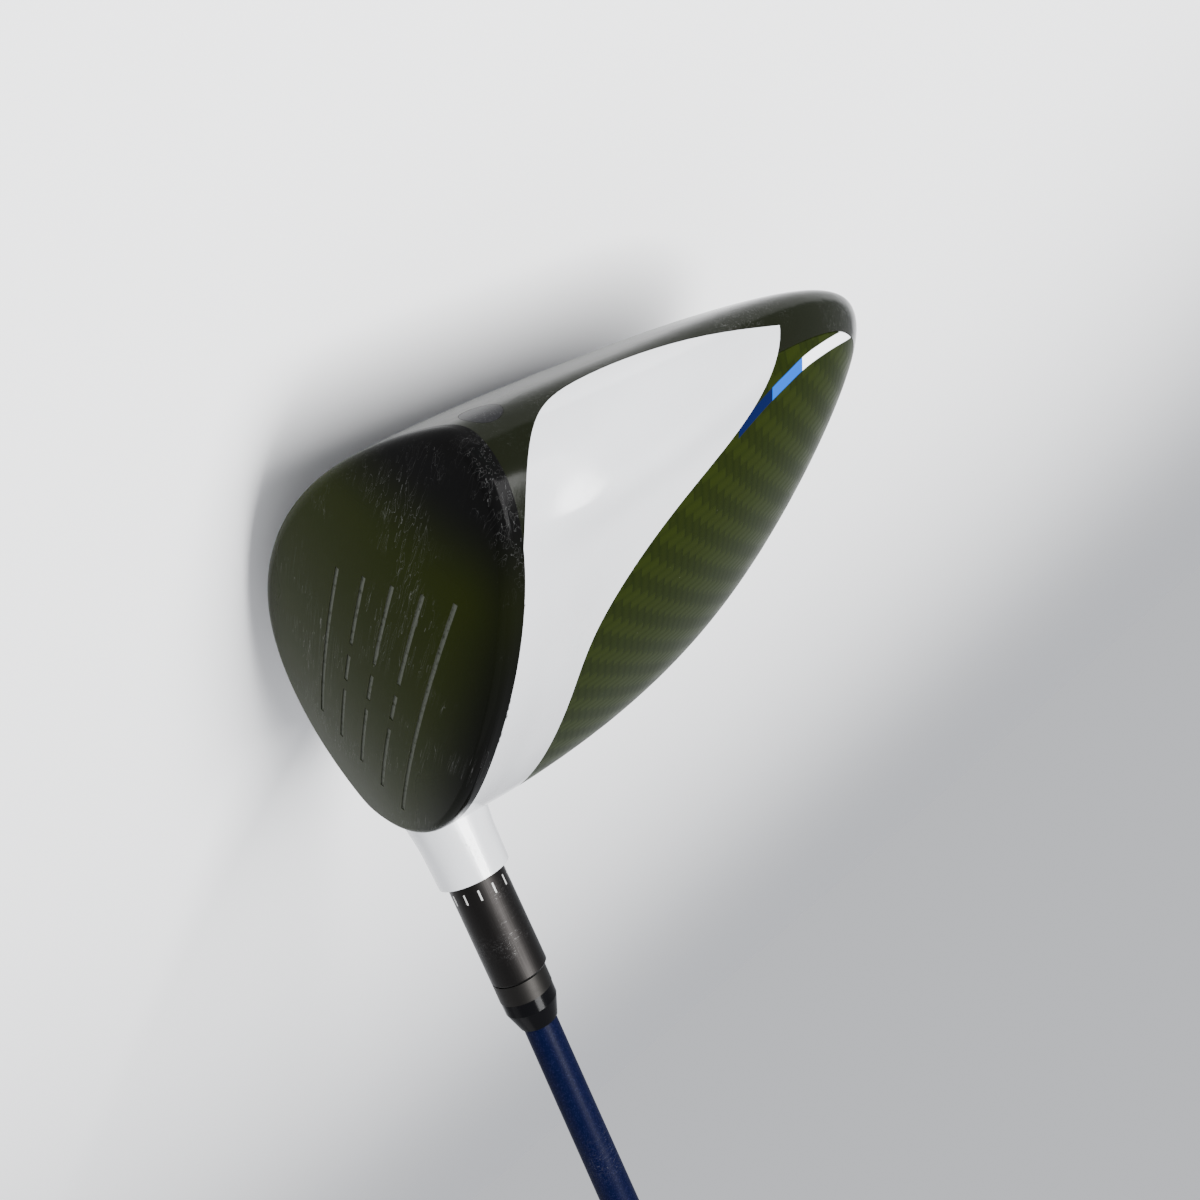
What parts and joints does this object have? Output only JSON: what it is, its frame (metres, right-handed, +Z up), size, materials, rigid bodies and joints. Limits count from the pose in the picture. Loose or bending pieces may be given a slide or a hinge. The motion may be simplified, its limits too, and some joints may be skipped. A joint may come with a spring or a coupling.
{
  "type": "golf driver",
  "caption": "Right-handed golf driver: hollow rounded head with a white front crown and carbon rear crown, loft-adjusting sleeve, tapered shaft and rubber grip.",
  "frame": {"origin": "centre of the grip cap's outer face, at the mouth of its vent hole", "axes": "address posture: +Z up, the club face looks along -Y, the shaft rises from the head towards +X, so the toe is on the -X side"},
  "size_m": [0.7458, 0.1219, 0.9706],
  "materials": {
    "face_black": "gloss black over titanium",
    "crown_white": "gloss white paint",
    "carbon": "clear-coated carbon weave",
    "body_black": "gloss black paint",
    "keel_black": "satin black paint",
    "slot_rubber": "moulded",
    "plug_black": "gloss",
    "resin": "cast",
    "weight_steel": "turned",
    "screw_steel": "machined",
    "hosel_titanium": "machined",
    "insert_steel": "broached",
    "sleeve_anodised": "dark anodised satin",
    "ring_grey": "satin",
    "ferrule_black": "gloss",
    "shaft_navy": "clear-coated paint over graphite",
    "tape_cloth": "woven double-sided tape",
    "grip_rubber": "moulded pattern"
  },
  "bodies": {
    "shaft_assembly": {"shaft": "shaft_navy", "loft_sleeve": "sleeve_anodised", "adapter_ring": "ring_grey", "ferrule": "ferrule_black", "grip_tape": "tape_cloth", "grip": "grip_rubber", "grip_cap": "grip_rubber"},
    "head": {"face_plate": "face_black", "crown_band": "crown_white", "crown_panel": "carbon", "chassis": "body_black", "sole_panel_toe": "carbon", "sole_panel_heel": "carbon", "slot_insert": "slot_rubber", "toe_plug": "plug_black", "damping_resin": "resin", "sole_keel": "keel_black", "hosel_tube": "hosel_titanium", "spline_insert": "insert_steel"},
    "bolt_washer": {"bolt_washer": "screw_steel"},
    "hosel_bolt": {"hosel_bolt": "screw_steel"},
    "rear_weight": {"weight_slug": "weight_steel"},
    "weight_screw": {"weight_screw": "screw_steel"}
  },
  "joints": [
    {"name": "head_release", "type": "slide", "parent": "shaft_assembly", "child": "head", "axis": [-0.5299, 0, -0.848], "range_m": [0, 0.045]},
    {"name": "bolt_travel", "type": "slide", "parent": "head", "child": "bolt_washer", "axis": [-0.5299, 0, -0.848], "range_m": [0, 0.0064]},
    {"name": "bolt_turn", "type": "hinge", "parent": "bolt_washer", "child": "hosel_bolt", "pos_m": [-0.63292, 0, -0.94091], "axis": [-0.5299, 0, -0.848], "range_deg": [0, 2880]},
    {"name": "weight_travel", "type": "slide", "parent": "head", "child": "rear_weight", "axis": [0, 0.309, -0.9511], "range_m": [0, 0.0084]},
    {"name": "weight_turn", "type": "hinge", "parent": "rear_weight", "child": "weight_screw", "pos_m": [-0.67079, 0.076, -0.95578], "axis": [0, 0.309, -0.9511], "range_deg": [0, 4320]}
  ],
  "couplings": [
    {"joint": "bolt_travel", "follows": "bolt_turn", "m_per_rad": 0.00012732},
    {"joint": "weight_travel", "follows": "weight_turn", "m_per_rad": 0.00011141}
  ]
}
